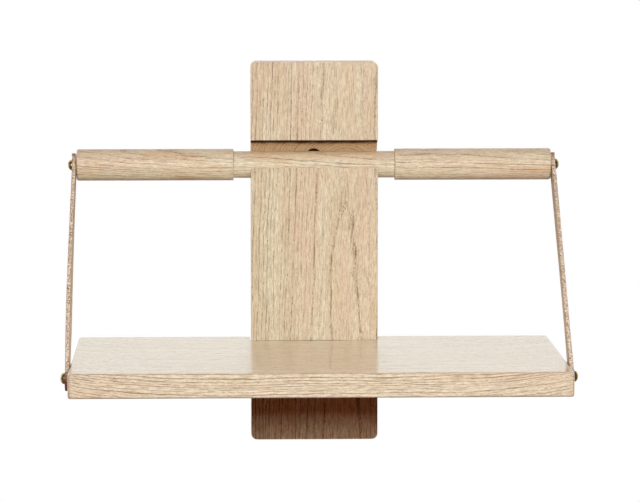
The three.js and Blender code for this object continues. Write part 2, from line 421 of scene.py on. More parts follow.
# Where each board sits in its log, which way its grain runs and how much of it shows. Millimetres, degrees.
oakCuts = {
    "board": {
        "grain": "Z",
        "pith": (26, 14, 0),
        "tilt": (0.9, -1.0),
        "bow": (0, 0, 0),
        "ring": 2.7,
        "waviness": 3.0,
        # Painted shade in the slot's ceiling and inside the screw hole: where it lies and how dark
        "paintedSlotShade": {
            "ceiling": 94.45,  # a hair above the slot's own
            "fade": (90.9, 93.5),
            "ragged": 2.4,
            "raggedSpacing": 9,
            "holeHeight": 79.4,
            "holeRadius": 6.7,
            "wall": 0.1,  # no nearer to the wall than this
            "most": 0.97,
        },
        "contrast": 1.25,
        "line": 0.62,
        "unbroken": 0.35,
        "pores": 0.9,
        "pale": 0.0,
        "golden": 0.15,
        "turned": False,
        # how much painted shade darkens the rounded edges
        "edgeShadeShare": 0.85,
        "coat": 0.5,
        "dullness": 0.44,
        "endGrain": (0.2, 0.85),
        # Painted shade under the shelf: towards its foot its front is painted browner and its lines darker:
        # how much, and between which heights
        "foot": {
            "tint": ("footTint", 0.35, -100, -145),
            "fibres": ("footLine", 0.5, -92, -106),
            "lines": ("footLine", 0.85, -92, -106),
            "pores": ("footLine", 0.85, -92, -106),
        },
        "seed": 3.0,
    },
    "shelf": {
        "grain": "X",
        "pith": (-300, 60, 0),
        "tilt": (0.3, 0.2),
        "bow": (0.8, 0.3, 0),
        "ring": 2.1,
        "waviness": 1.8,
        "contrast": 1.35,
        "line": 0.95,
        "unbroken": 0.4,
        "pores": 1.0,
        "pale": 0.7,
        "golden": 0.1,
        "turned": False,
        "edgeShadeShare": 0.4,
        "coat": 1.0,
        "dullness": 0.3,
        "endGrain": (0.6, 0.95),
        "seed": 41.0,
    },
    "rod": {
        "grain": "X",
        "pith": (9, 20, 0),
        "tilt": (2.0, -1.4),
        "bow": (0.1, 0.1, 0),
        "ring": 2.4,
        "waviness": 3.0,
        "contrast": 1.25,
        "line": 0.75,
        "unbroken": 0.4,
        "pores": 0.85,
        "pale": 0.75,
        "golden": 0.6,
        "turned": True,
        "edgeShadeShare": 0.3,
        "coat": 0.25,
        "dullness": 0.44,
        "endGrain": (0.6, 0.95),
        # Painted light: its top, where it lies in the slot, is painted warmer and paler, for the warm light
        # that the slot's wood
        # throws on it: how near to the middle, and how far its normal has to point upwards
        "oiled": {"near": (60, 50), "upwards": (0.35, 0.9), "most": 0.5},
        "seed": 77.0,
    },
}

oakTexture = {
    # How far apart the slow bends of the fibres are, across and along the grain
    "sway": (38, 38, 115),
    "ripple": (9, 9, 34),
    "rippleDepth": 0.9,
    # The years grow unevenly by so many rings, over so many millimetres
    "growth": 2.4,
    "growthSpacing": 9,
    # How close the pores stand from spring to winter, and the least that a poor year has of them
    "year": [(0.0, 0), (0.06, 1), (0.21, 0.95), (0.31, 0.15), (1.0, 0)],
    "poorYear": 0.3,
    # A year's line where the face is cut along the year: from and to which slant, and what is left of it
    "cutAlong": (0.6, 0.98),
    "lineCutAlong": 0.6,
    # Pores, one to a cell: spacing, and how much shows in a spring line, on top of what shows elsewhere.
    # First long vessels cut along their length, then short ones where the grain dips out of the face.
    # Real ones are 0.3 mm wide, here 0.5 mm so that they show.
    "pores": [((0.95, 0.95, 22), 0.7, 0.35), ((1.0, 1.0, 3.4), 0.85, 0.2)],
    "poreEdge": (0.4, 0.18),
    # Noise drawn out along the grain: spacing, shift, detail, roughness, the values it fades between, and how
    "patterns": {
        "lineBreaks": ((2.2, 2.2, 42), 0, 2, 0.5, 0.36, 0.6, "SMOOTHSTEP"),
        "fibres": ((0.7, 0.7, 6), 3, 3, 0.65, 0.38, 0.72, "LINEAR"),  # real ones are finer than can show
        "bands": ((11, 11, 190), 5, 3, 0.5, 0.35, 0.65, "LINEAR"),
        "pinkBands": ((19, 19, 260), 7, 2, 0.5, 0.42, 0.66, "LINEAR"),
        "goldenPatches": ((15, 15, 46), 9, 2, 0.5, 0.5, 0.72, "SMOOTHSTEP"),
    },
    # The most of the pink bands and the fibres, and of the years' lines in end grain
    "pink": 0.5,
    "fibre": 0.7,
    "endLines": 0.5,
    "roundedEdge": (0.98, 0.8),  # how nearly the normal follows an axis where the painted edge shade starts and is full
    "squarely": -0.5,  # a face looks forwards or down where that part of its normal is below this
    "reliefStrength": 0.3,
    "reliefDepth": 0.1,
    "poreDullness": 0.7,
    "coatRoughness": 0.18,
}
toMillimetres = (1 / mm, 1 / mm, 1 / mm)


# A texture drawn out along the grain. Spacing is in millimetres, and shift keeps two patterns from falling
# together.
def alongGrain(add, wood, seed, spacing, shift, kind, inputs):
    drawnOut = add("Mapping", {
        "Vector": wood,
        "Location": (shift * seed, 2 * shift * seed, seed),
        "Scale": tuple(1 / s for s in spacing),
    })
    return add(kind, {"Vector": drawnOut, "Scale": 1, **inputs})


# Pale oak, planed or turned and finished with hard wax oil: dark open pores in lines where each year starts,
# faint pink and straw bands, a low sheen that turns pale at a shallow angle, and browner end grain with dark
# dots for pores.
def waxedOak(name, cut, colours, texture):
    material, add = startNodes(bpy.data.materials.new(name))
    place = add("TexCoord")
    position, normal = place.outputs["Object"], place.outputs["Normal"]
    at = add("SeparateXYZ", [position]).outputs
    facing = add("SeparateXYZ", [normal]).outputs
    turn = (0, 0, 0) if cut["grain"] == "Z" else (0, -math.pi / 2, 0)
    tilt = (math.radians(cut["tilt"][0]), math.radians(cut["tilt"][1]), 0)
    alongZ = add("Mapping", {"Vector": position, "Scale": toMillimetres, "Rotation": turn})
    tilted = add("Mapping", {"Vector": alongZ, "Rotation": tilt})
    # The tree was not quite straight: the grain bows by so much 100 mm from the middle
    parts = add("SeparateXYZ", [tilted])
    reach = add("Math", [parts.outputs["Z"], 1 / 100], operation="MULTIPLY")
    reach = add("Math", [reach, 4], operation="POWER")
    wood = add("VectorMath", [cut["bow"], reach, tilted], operation="MULTIPLY_ADD")
    for spacing, depth in ((texture["sway"], cut["waviness"]), (texture["ripple"], texture["rippleDepth"])):
        wander = alongGrain(add, wood, cut["seed"], spacing, 1, "TexNoise", {"Detail": 1.5})
        centred = add("VectorMath", [wander.outputs["Color"], (0.5, 0.5, 0.5)], operation="SUBTRACT")
        wood = add("VectorMath", [centred, (2 * depth, 2 * depth, 0), wood], operation="MULTIPLY_ADD")
    shares = {}
    for pattern, (spacing, shift, detail, roughness, start, full, fade) in texture["patterns"].items():
        inputs = {"Detail": detail, "Roughness": roughness}
        drawn = alongGrain(add, wood, cut["seed"], spacing, shift, "TexNoise", inputs)
        shares[pattern] = add("MapRange", [drawn, start, full], interpolation_type=fade)

    # Years round the pith, some wide, some narrow, some with hardly any pores
    fromPith = add("VectorMath", [wood, cut["pith"]], operation="SUBTRACT")
    flat = add("VectorMath", [fromPith, (1, 1, 0)], operation="MULTIPLY")
    radius = add("VectorMath", [flat], operation="LENGTH")
    slow = {"W": radius, "Scale": 1 / texture["growthSpacing"], "Detail": 1}
    growth = add("TexNoise", slow, noise_dimensions="1D")
    uneven = add("Math", [growth, texture["growth"]], operation="MULTIPLY")
    years = add("Math", [radius, 1 / cut["ring"], uneven], operation="MULTIPLY_ADD")
    season = add("Math", [years], operation="FRACT")
    spring = add("ValToRGB", {"Fac": season})
    fillRamp(spring, [(when, grey(share)) for when, share in texture["year"]])
    yearNumber = add("Math", [years], operation="FLOOR")
    yearLuck = add("TexWhiteNoise", {"W": yearNumber}, noise_dimensions="1D")
    yearShare = add("MapRange", {"Value": yearLuck, "To Min": texture["poorYear"]})
    breakShare = add("MapRange", {"Value": shares["lineBreaks"], "To Min": cut["unbroken"]})
    springLine = add("Math", [spring, yearShare], operation="MULTIPLY")
    brokenLine = add("Math", [springLine, breakShare], operation="MULTIPLY")
    # Cut across, a year's line is thin and dark. Cut along, it spreads out and only its pores show.
    outOfFace = add("Mapping", {"Vector": normal, "Rotation": turn})
    outFromPith = add("VectorMath", [flat], operation="NORMALIZE")
    cutAlong = add("VectorMath", [outOfFace, outFromPith], operation="DOT_PRODUCT")
    cutAlong = add("Math", [cutAlong], operation="ABSOLUTE")
    lineShare = add("MapRange", [cutAlong, *texture["cutAlong"], 1, texture["lineCutAlong"]])
    brokenLine = add("Math", [brokenLine, lineShare], operation="MULTIPLY")

    pores = []
    for spacing, inSpring, elsewhere in texture["pores"]:
        cells = alongGrain(add, wood, cut["seed"], spacing, 0, "TexVoronoi", {})
        core = add("MapRange", [cells, *texture["poreEdge"]], interpolation_type="SMOOTHSTEP")
        share = add("Math", [springLine, inSpring, elsewhere], operation="MULTIPLY_ADD")
        pores.append(add("Math", [core, share], operation="MULTIPLY"))
    pore = add("Math", pores, operation="MAXIMUM")

    # Colour, from the broadest change to the finest
    bodyShare = add("Math", [shares["bands"], cut["pale"]], operation="MAXIMUM")
    layers = [
        (bodyShare, 1, "pale"),
        (shares["pinkBands"], texture["pink"], "pink"),
        (shares["goldenPatches"], cut["golden"], "golden"),
        (shares["fibres"], texture["fibre"] * cut["contrast"], "fibre"),
        (brokenLine, cut["line"], "pore"),
        (pore, cut["pores"], "pore"),
    ]
    # Painted shade: under the shelf the board's front is painted browner, with darker lines
    if "foot" in cut:
        inFront = add("Math", [facing["Y"], texture["squarely"]], operation="LESS_THAN")
        marks = {"tint": inFront, "fibres": shares["fibres"], "lines": brokenLine, "pores": pore}
        for mark, (over, most, top, bottom) in cut["foot"].items():
            low = add("MapRange", [at["Z"], top * mm, bottom * mm])
            low = add("Math", [low, inFront], operation="MULTIPLY")
            footMarks = add("Math", [marks[mark], low], operation="MULTIPLY")
            layers.append((footMarks, most, over))
    # Painted light: the rod's top near the middle is painted warmer and paler
    if "oiled" in cut:
        oiled = cut["oiled"]
        fromMiddle = add("Math", [at["X"]], operation="ABSOLUTE")
        inSlot = add("MapRange", [fromMiddle, *(near * mm for near in oiled["near"])])
        onTop = add("MapRange", [facing["Z"], *oiled["upwards"]])
        inSlot = add("Math", [inSlot, onTop], operation="MULTIPLY")
        layers.append((inSlot, oiled["most"], "oiled"))

    # Painted shade on the rounded edges, a darker outline where the normal points along no axis of the board
    bare = add("VectorMath", [normal], operation="ABSOLUTE")
    bare = add("SeparateXYZ", [bare]).outputs
    if cut["turned"]:
        squared = add("Math", [bare["X"], 2], operation="POWER")
        rest = add("Math", [1, squared], operation="SUBTRACT")
        flatness = add("Math", [rest], operation="SQRT")
    else:
        flatness = add("Math", [bare["Y"], bare["Z"]], operation="MAXIMUM")
    flatness = add("Math", [flatness, bare["X"]], operation="MAXIMUM")
    edgeShadeShare = add("MapRange", [flatness, *texture["roundedEdge"]], interpolation_type="SMOOTHSTEP")
    layers.append((edgeShadeShare, cut["edgeShadeShare"], "rubbed"))
    colour = layered(add, srgbToLinear(colours["body"]), layers, colours)

    # End grain soaks up more of the oil and goes browner, and its pores are cut end on
    endShare = add("MapRange", [bare[cut["grain"]], *cut["endGrain"]], interpolation_type="SMOOTHSTEP")
    endDark = add("Math", [springLine, texture["endLines"], pore], operation="MULTIPLY_ADD", use_clamp=True)
    endColour = layered(add, srgbToLinear(colours["endGrain"]), [(endDark, 1, "endPore")], colours)
    colour = add("Mix", {0: endShare, "A": colour, "B": endColour}, data_type="RGBA")

    # The pores are shallow grooves, and duller than the waxed wood between them
    height = add("Math", [pore, -1, shares["fibres"]], operation="MULTIPLY_ADD")
    depth, strength = texture["reliefDepth"] * mm, texture["reliefStrength"]
    relief = add("Bump", {"Height": height, "Strength": strength, "Distance": depth})
    dullness = add("MapRange", {"Value": pore, "To Min": cut["dullness"], "To Max": texture["poreDullness"]})
    waxed = cut["coat"]

    # Painted shade: the slot's ceiling behind its front edge and the inside of the screw hole are painted
    # dark, where shade falls. Both are left unwaxed.
    if "paintedSlotShade" in cut:
        marks = cut["paintedSlotShade"]
        rags = add("TexNoise", {"Vector": position, "Scale": 1 / (marks["raggedSpacing"] * mm)})
        raggedHeight = add("Math", [rags, marks["ragged"] * mm, at["Z"]], operation="MULTIPLY_ADD")
        fade = [end * mm for end in marks["fade"]]
        onCeiling = add("MapRange", [raggedHeight, *fade], interpolation_type="SMOOTHSTEP")
        underCeiling = add("Math", [at["Z"], marks["ceiling"] * mm], operation="LESS_THAN")
        facesDown = add("Math", [facing["Z"], texture["squarely"]], operation="LESS_THAN")
        hole = (0, 0, marks["holeHeight"] * mm)
        fromHole = add("VectorMath", [position, hole], operation="SUBTRACT")
        fromHole = add("VectorMath", [fromHole, (1, 0, 1)], operation="MULTIPLY")
        fromHole = add("VectorMath", [fromHole], operation="LENGTH")
        inHole = add("Math", [fromHole, marks["holeRadius"] * mm], operation="LESS_THAN")
        offWall = add("Math", [at["Y"], -marks["wall"] * mm], operation="LESS_THAN")
        for share in (underCeiling, facesDown):
            onCeiling = add("Math", [onCeiling, share], operation="MULTIPLY")
        inHole = add("Math", [inHole, offWall], operation="MULTIPLY")
        dark = add("Math", [onCeiling, inHole], operation="MAXIMUM")
        dark = add("Math", [dark, marks["most"]], operation="MULTIPLY")
        colour = layered(add, colour, [(dark, 1, "scorch")], colours)
        dullness = add("Math", [dullness, dark], operation="MAXIMUM")
        unwaxed = add("Math", [1, dark], operation="SUBTRACT")
        waxed = add("Math", [unwaxed, waxed], operation="MULTIPLY")
    finishMaterial(add, {
        "Base Color": colour,
        "Roughness": dullness,
        "IOR": 1.5,
        "Coat Weight": waxed,
        "Coat Roughness": texture["coatRoughness"],
        "Coat IOR": 1.45,
        "Normal": relief,
    })
    return material


leatherLook = {
    # Colours from the noise's low values to its high ones
    "grain": [(0.32, "#b19c83"), (0.5, "#cab59a"), (0.66, "#dccbb3")],
    "cutEdge": [(0.44, "#755d45"), (0.62, "#bfb096"), (0.84, "#fcf8ed")],
    "crease": "#ab9276",
    "handled": "#78381e",  # darker and redder at the ends, partly where fingers and the screws have touched it, partly painted shade
    # painted shade on the rounded corner between face and cut edge
    "rubbed": "#9a7a5e",
    "fleshFibre": 0.4,  # the share of the cut edge's look on the inner face
    "edge": (0.7, 0.3),  # the part of its normal along X where the cut edge starts and is full
    "corner": (0.65, 0.3),  # the same in the corner between face and edge, where the painted edge shade lies, give or take so much
    "cornerShade": 0.6,
    "clouds": 9,  # millimetres, as are the other sizes
    "creaseSize": 0.9,
    "creaseWidth": 0.12,  # of a crease's cell
    "splitLayers": (0.7, 1.1, 1.1),
    "tufts": 0.75,  # real ones are finer than the render can show
    "tuftShare": 0.3,
    "handledFrom": (82, 98),  # from the middle, where the clouds add up to the ragged part
    "handledRagged": 16,
    "handledMost": 0.9,
    "faceDullness": 0.5,
    "edgeDullness": 0.85,
    "reliefStrength": 0.5,
    "reliefDepth": 0.25,
}


# Natural vegetable-tanned strap leather, cut with a knife and left raw at the edges: a smooth tight grain
# outside, a fibrous speckled edge with painted shade on the corner between them, darker at the ends where it
# has been handled, with painted shade there too.
def vegTanLeather(name, look):
    material, add = startNodes(bpy.data.materials.new(name))
    place = add("TexCoord")
    scaled = add("Mapping", {"Vector": place.outputs["Object"], "Scale": toMillimetres})
    at = add("SeparateXYZ", [scaled]).outputs
    facing = add("SeparateXYZ", [place.outputs["Normal"]]).outputs
    clouds = add("TexNoise", {"Vector": scaled, "Scale": 1 / look["clouds"], "Detail": 5, "Roughness": 0.65})
    grain = add("ValToRGB", {"Fac": clouds})
    fillRamp(grain, look["grain"])
    cells = add("TexVoronoi", {"Vector": scaled, "Scale": 1 / look["creaseSize"]}, feature="DISTANCE_TO_EDGE")
    betweenCreases = add("MapRange", {"Value": cells, "From Max": look["creaseWidth"]})
    crease = srgbToLinear(look["crease"])
    face = add("Mix", {0: betweenCreases, "A": crease, "B": grain}, data_type="RGBA")

    # The cut edge faces along the strap's plane, so its normal has no part along X
    outward = add("Math", [facing["X"]], operation="ABSOLUTE")
    edgeShare = add("MapRange", [outward, *look["edge"]], interpolation_type="SMOOTHSTEP")
    # The flesh side is a little fibrous too. It faces the shelf: its normal points towards the middle.
    awayFromMiddle = add("Math", [facing["X"], at["X"]], operation="MULTIPLY")
    flesh = add("Math", [awayFromMiddle, 0], operation="LESS_THAN")
    fleshShare = add("Math", [flesh, look["fleshFibre"]], operation="MULTIPLY")
    edgeShare = add("Math", [edgeShare, fleshShare], operation="MAXIMUM")
    # Painted shade on the rounded corner between face and cut edge
    cutCorner = add("Math", [outward, *look["corner"]], operation="COMPARE")
    layers = add("Mapping", {"Vector": scaled, "Scale": tuple(1 / size for size in look["splitLayers"])})
    fibres = add("TexNoise", {"Vector": layers, "Scale": 1, "Detail": 4, "Roughness": 0.75})
    tufts = add("TexVoronoi", {"Vector": scaled, "Scale": 1 / look["tufts"]})
    tuftLight = add("SeparateColor", [tufts.outputs["Color"]])
    speckle = add("Math", [tuftLight.outputs["Red"], look["tuftShare"], fibres], operation="MULTIPLY_ADD")
    cutEdge = add("ValToRGB", {"Fac": speckle})
    fillRamp(cutEdge, look["cutEdge"])
    coloured = add("Mix", {0: edgeShare, "A": face, "B": cutEdge}, data_type="RGBA")

    # Painted shade and handling darken the two ends
    fromMiddle = add("Math", [at["Z"]], operation="ABSOLUTE")
    handled = add("Math", [clouds, look["handledRagged"], fromMiddle], operation="MULTIPLY_ADD")
    handledShare = add("MapRange", [handled, *look["handledFrom"]], interpolation_type="SMOOTHSTEP")
    marks = [(cutCorner, look["cornerShade"], "rubbed"), (handledShare, look["handledMost"], "handled")]
    coloured = layered(add, coloured, marks, look)

    height = add("Mix", {0: edgeShare, "A": betweenCreases, "B": speckle}, data_type="FLOAT")
    depth = look["reliefDepth"] * mm
    relief = add("Bump", {"Height": height, "Strength": look["reliefStrength"], "Distance": depth})
    dullness = add("MapRange", [edgeShare, 0, 1, look["faceDullness"], look["edgeDullness"]])
    finishMaterial(add, {"Base Color": coloured, "Roughness": dullness, "IOR": 1.45, "Normal": relief})
    return material


brassLook = {
    "tarnish": [(0.35, "#6c5c32"), (0.52, "#bfa468"), (0.72, "#efdca2")],  # from tarnished to rubbed spots
    "spots": 2.4,  # millimetres
    "latheRings": 0.45,  # real ones are finer than the render can show
    "ringStrength": 0.12,
    "ringDepth": 0.02,
    "tarnishDullness": 0.42,
    "brightDullness": 0.2,
}


# Plain turned brass, unlacquered and years old: fine rings from the lathe on the dome, olive brown where air
# and fingers have tarnished it, still bright on the spots that get rubbed.
def turnedBrass(name, look):
    material, add = startNodes(bpy.data.materials.new(name))
    place = add("TexCoord").outputs["Object"]
    spots = add("TexNoise", {"Vector": place, "Scale": 1 / (look["spots"] * mm), "Detail": 4})
    tarnish = add("ValToRGB", {"Fac": spots})
    fillRamp(tarnish, look["tarnish"])
    dullness = add("MapRange", [spots, 0, 1, look["tarnishDullness"], look["brightDullness"]])
    scale = 1 / (look["latheRings"] * mm * 20)  # the wave node has 20 waves in the length 2 pi
    rings = add("TexWave", {"Vector": place, "Scale": scale}, wave_type="BANDS", bands_direction="X")
    height, depth = rings.outputs["Fac"], look["ringDepth"] * mm
    relief = add("Bump", {"Height": height, "Strength": look["ringStrength"], "Distance": depth})
    finishMaterial(add, {"Base Color": tarnish, "Metallic": 1, "Roughness": dullness, "Normal": relief})
    return material


boardOak = waxedOak("waxedOakPlanedBoard", oakCuts["board"], oakColours, oakTexture)
shelfOak = waxedOak("waxedOakPlanedShelf", oakCuts["shelf"], paleShelfColours, oakTexture)
rodOak = waxedOak("waxedOakTurnedRod", oakCuts["rod"], oakColours, oakTexture)
leather = vegTanLeather("vegetableTannedLeather", leatherLook)
brass = turnedBrass("turnedBrass", brassLook)
print("materials made")


# Pieces. Sizes are in millimetres; depth is measured from the wall towards the room.

overrun = 3  # how far a cutter reaches past the wood
touching = 0.5  # an edge this close to a cut belongs to it
tiny = 1e-9  # the slack in comparing angles


def asPiece(obj, body, materialSlot, material, *nodes):
    obj.data.materials.clear()
    obj.data.materials.append(material)
    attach(obj, body)
    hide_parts(*nodes)


# Rounds off the four corners of a board's outline: the edges that run along the given axis
def roundCorners(obj, axis, low, high, shape):
    bm = bmesh.new()
    bm.from_mesh(obj.data)
    across = [i for i in range(3) if i != axis]
    corners = []
    for edge in bm.edges:
        a, b = (vertex.co for vertex in edge.verts)
        alongAxis = all(abs(a[i] - b[i]) < weldDistance / 2 for i in across)
        atCorner = all(min(abs(a[i] - low[i]), abs(a[i] - high[i])) < weldDistance / 2 for i in across)
        if alongAxis and atCorner:
            corners.append(edge)
    radius, steps = shape["cornerRadius"] * mm, shape["cornerSteps"]
    bmesh.ops.bevel(bm, geom=corners, offset=radius, offset_type="OFFSET", segments=steps, profile=0.5,
                    affect="EDGES", clamp_overlap=False)
    bm.to_mesh(obj.data)
    bm.free()


boardShape = {
    "cornerRadius": 5.0,
    "cornerSteps": 10,
    "edgeRound": 1.5,
    "cutEdgeShare": 0.12,  # of the edge round, along the slot
    "housingEdgeShare": 0.05,
    "lipEdgeShare": 0.17,
    "ceiling": 94.4,
    "lip": 70.85,
    "seat": 73.2,
    "seatRadius": 11.75,
    "seatSteps": 40,
    "slotBack": 3.85,
    "slotOpening": 23.55,
    "slotSteps": 32,
    "lipCornerRadius": 4.0,
    "lipCornerSteps": 8,
    "housingDepth": 6.0,
    "housingBottom": -95.6,
    "housingTop": -75.15,
    "wallHoleRadius": 3.0,
    "wallHoleHeadRadius": 6.5,
    "wallHoleRim": 1.2,
    "wallHoleHeight": 79.4,
    "wallHoleSides": 48,
}


def makeWallBoard(shape):
    low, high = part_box("back_board")
    side, top, front = high.x / mm, high.z / mm, -low.y / mm
    lip, seat, ceiling = shape["lip"], shape["seat"], shape["ceiling"]
    bottomOfHousing, topOfHousing = shape["housingBottom"], shape["housingTop"]
    seatRadius, opening = shape["seatRadius"], shape["slotOpening"]
    seatDepth = shape["slotBack"] + seatRadius
    ceilingFront = shape["slotBack"] + opening
    housingBack = front - shape["housingDepth"]
    lipAngle = -math.asin((seat - lip) / seatRadius)
    seatArc = arcPoints(seatDepth, seat, seatRadius, seatRadius, lipAngle, -math.pi, shape["seatSteps"])
    slotHeight, slotSteps = ceiling - seat, shape["slotSteps"]
    ceilingArc = arcPoints(ceilingFront, seat, opening, slotHeight, math.pi, math.pi / 2, slotSteps)
    outline = [
        (0, -top),
        (front, -top),
        (front, bottomOfHousing),
        (housingBack, bottomOfHousing),
        (housingBack, topOfHousing),
        (front, topOfHousing),
        (front, lip),
        *seatArc,
        *ceilingArc[1:],
        (front, ceiling),
        (front, top),
        (0, top),
    ]
    board = prism("wallBoard", outline, -side, side, lambda depth, z, x: Vector((x, -depth, z)) * mm)
    roundCorners(board, 1, low, high, shape)

    radius = shape["lipCornerRadius"]
    corner = [
        (side + overrun, lip + overrun),
        (side - radius, lip + overrun),
        *arcPoints(side - radius, lip - radius, radius, radius, math.pi / 2, 0, shape["lipCornerSteps"]),
        (side + overrun, lip - radius),
    ]
    cutters = [
        prism("lipCorner", corner, seatDepth, front + overrun, lambda x, z, depth: (
            Vector((end * x, -depth, z)) * mm
        ))
        for end in (-1, 1)
    ]
    bore, head, rim = shape["wallHoleRadius"], shape["wallHoleHeadRadius"], shape["wallHoleRim"]
    holeHeight = shape["wallHoleHeight"]
    hole = [
        (0, -overrun),
        (bore, -overrun),
        (bore, rim),
        (head, rim + head - bore),
        (head, seatDepth),
        (0, seatDepth),
    ]
    cutters.append(turned("wallHole", hole, shape["wallHoleSides"], lambda x, y, depth: (
        Vector((x, -depth, y + holeHeight)) * mm
    )))
    cutAway(board, cutters)

    def roundShare(point):
        depth, x, z = -point.y / mm, abs(point.x) / mm, point.z / mm
        if max(x, abs(z - holeHeight)) < head + touching and depth < seatDepth + touching:
            return 0
        if depth > seatDepth and lip - radius - touching < z < lip + touching:
            return shape["lipEdgeShare"]
        if depth > touching and seat - seatRadius - touching < z < ceiling + touching:
            return shape["cutEdgeShare"]
        if depth > touching and bottomOfHousing - touching < z < topOfHousing + touching:
            return shape["housingEdgeShare"]
        return 1

    softenEdges(board, shape["edgeRound"] * mm, roundShare)
    return board


shelfShape = {
    "cornerRadius": 3.0,
    "cornerSteps": 8,
    "edgeRound": 1.8,
    "notchEdgeShare": 0.15,
    "notchSideGap": 1.0,
    "notchBack": 22.3,
    "pilotRadius": 2.3,
    "pilotDepth": 22.9,
    "pilotTip": 1.0,
    "pilotSides": 32,
    "screwDepth": 175.0,
}


def makeShelf(shape):
    low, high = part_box("shelf_board")
    side, front, back = high.x / mm, -low.y / mm, -high.y / mm
    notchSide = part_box("back_board")[1].x / mm + shape["notchSideGap"]
    notchBack, radius, pilotDepth = shape["notchBack"], shape["pilotRadius"], shape["pilotDepth"]
    outline = [
        (-side, front),
        (side, front),
        (side, back),
        (notchSide, back),
        (notchSide, notchBack),
        (-notchSide, notchBack),
        (-notchSide, back),
        (-side, back),
    ]
    shelf = prism("shelfBoard", outline, low.z, high.z, lambda x, depth, z: Vector((x * mm, -depth * mm, z)))
    roundCorners(shelf, 2, low, high, shape)
    height = (low.z + high.z) / 2
    pilot = [(0, -pilotDepth - shape["pilotTip"]), (radius, -pilotDepth), (radius, overrun), (0, overrun)]
    cutAway(shelf, [
        turned("pilot", pilot, shape["pilotSides"], lambda y, z, x: Vector((
            end * (side + x) * mm,
            (y - shape["screwDepth"]) * mm,
            z * mm + height,
        )))
        for end in (-1, 1)
    ])

    def roundShare(point):
        x, depth, z = abs(point.x) / mm, -point.y / mm, (point.z - height) / mm
        if max(abs(depth - shape["screwDepth"]), abs(z)) < radius + touching:
            return 0
        if x < notchSide + touching and depth < notchBack + touching:
            return shape["notchEdgeShare"]
        return 1

    softenEdges(shelf, shape["edgeRound"] * mm, roundShare)
    return shelf


rodShape = {
    "waistHalfLength": 68.0,
    "waistRadius": 11.25,
    "endRound": 1.6,
    "endSteps": 8,
    "shoulderRound": 0.6,
    "shoulderSteps": 5,
    "pilotRadius": 2.3,
    "pilotDepth": 22.9,
    "pilotTip": 1.0,
    "sides": 96,
}


def makeRod(shape):
    low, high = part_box("hanging_rod")
    centre = (low + high) / 2
    end, outer = high.x / mm, (high.z - low.z) / 2 / mm
    blunt, soft, softSteps = shape["endRound"], shape["shoulderRound"], shape["shoulderSteps"]
    shoulder, waist = shape["waistHalfLength"], shape["waistRadius"]
    quarter = math.pi / 2
    half = [
        (0, end - shape["pilotDepth"] - shape["pilotTip"]),
        (shape["pilotRadius"], end - shape["pilotDepth"]),
        (shape["pilotRadius"], end),
        *arcPoints(outer - blunt, end - blunt, blunt, blunt, quarter, 0, shape["endSteps"]),
        *arcPoints(outer - soft, shoulder + soft, soft, soft, 0, -quarter, softSteps),
        *arcPoints(waist + soft, shoulder - soft, soft, soft, quarter, 2 * quarter, softSteps),
    ]
    profile = [(radius, -x) for radius, x in half] + half[::-1]
    rod = turned("turnedRod", profile, shape["sides"], lambda y, z, x: (
        Vector((x * mm, y * mm + centre.y, z * mm + centre.z))
    ))
    shadeEvenly(rod)
    return rod


strapShape = {
    "width": 15.0,
    "thickness": 3.3,
    "endDistance": 10.5,  # from a screw's centre to the strap's end
    "holeRadius": 2.2,
    "rimInsets": [0, 0.12, 0.3, 0.6, 1.3],  # rows of points inside the cut edge
    "middleRows": [-3.6, -1.2, 1.2, 3.6],
    "lengthSteps": 72,
    "endSteps": 44,
    "rimRound": 0.6,
    "rimDrop": 0.35,  # how far a face falls towards the cut edge
    "edgeLayers": [-1, -0.7, -0.35, 0, 0.35, 0.7, 1],  # rows of points on the cut edge
    "fibreBulge": 0.1,
    "fibreRough": 0.9,  # the share of the bulge that differs from place to place
    "fibreSpacing": 1.7,
    "fibreSeeds": (3, 7),  # one sets the rows apart, the other the two straps
    "headRings": [2.6, 3.4, 4.2, 4.6, 5.0, 5.6],  # rows of points round a screw
    "headEdge": (4.3, 5.1),  # where the leather rises from under the head
    "headPress": 0.3,  # how deep a screw's head has sunk in
    "pressRise": 0.12,
    "pressRing": (4.4, 5.4, 7.4),
    "joinAt": 12.0,  # from a screw's centre to the plain middle length
    "flare": 0.9,  # how far the upper end leans off the rod
    "flareFrom": 2.0,  # above the screw's centre
    "flareLength": 8.5,
    "bow": {"left": 0.5, "right": 0.15},
    "bowEase": 1.5,  # flattens it towards its ends
    "bowEnd": 12.0,  # above the lower screw
    "twist": {"left": 4.5, "right": -2.0},  # degrees
    "twistSpan": (20, 165, 232),  # where it begins, is greatest and ends
    "waver": 0.07,
    "waverSpacing": (14, 6),
    "waverSeed": 31,
}


# Rises softly from low to its peak, and falls again to high
def bump(value, low, peak, high):
    if value <= low or value >= high:
        return 0
    share = (value - low) / (peak - low) if value < peak else (high - value) / (high - peak)
    return smooth(0, 1, share)


